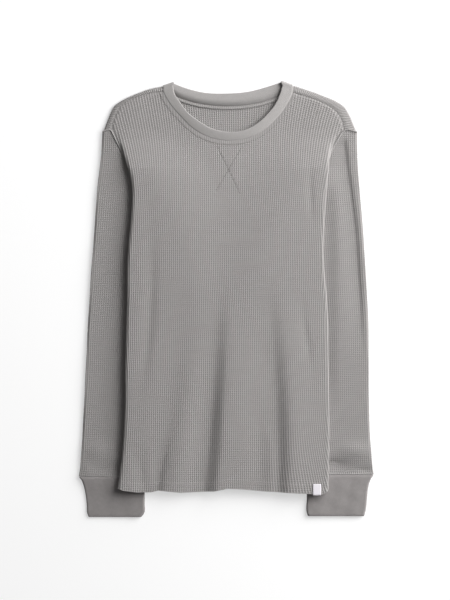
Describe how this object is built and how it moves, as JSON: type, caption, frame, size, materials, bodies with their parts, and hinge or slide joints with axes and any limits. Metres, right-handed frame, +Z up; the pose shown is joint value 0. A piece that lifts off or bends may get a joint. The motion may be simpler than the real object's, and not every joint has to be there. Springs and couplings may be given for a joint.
{
  "type": "thermal top",
  "caption": "Grey waffle-knit long-sleeved thermal top with a crew neck and ribbed cuffs, laid flat with its sides turned under.",
  "frame": {"origin": "on the surface the top lies on, under the centre of its outline", "axes": "+X to the right of someone who looks down at the front, which is the wearer's left, +Y towards the neck, +Z up from the surface and out of the front. Node names use the looker's left and right."},
  "size_m": [0.5086, 0.7539, 0.0208],
  "materials": {
    "body_waffle": "soft waffle knit, matt heather grey",
    "sleeve_waffle": "soft waffle knit, matt heather grey",
    "cuff_rib": "fine rib knit, matt heather grey",
    "neckband_rib": "fine rib knit, matt heather grey",
    "neck_tape": "smooth jersey tape, matt heather grey",
    "label_woven": "smooth woven label, white"
  },
  "bodies": {
    "root": {"front": "body_waffle", "back": "body_waffle", "sleeve_left": "sleeve_waffle", "sleeve_right": "sleeve_waffle", "cuff_left": "cuff_rib", "cuff_right": "cuff_rib", "neckband": "neckband_rib", "neck_tape": "neck_tape", "hem_label": "label_woven"}
  },
  "joints": []
}
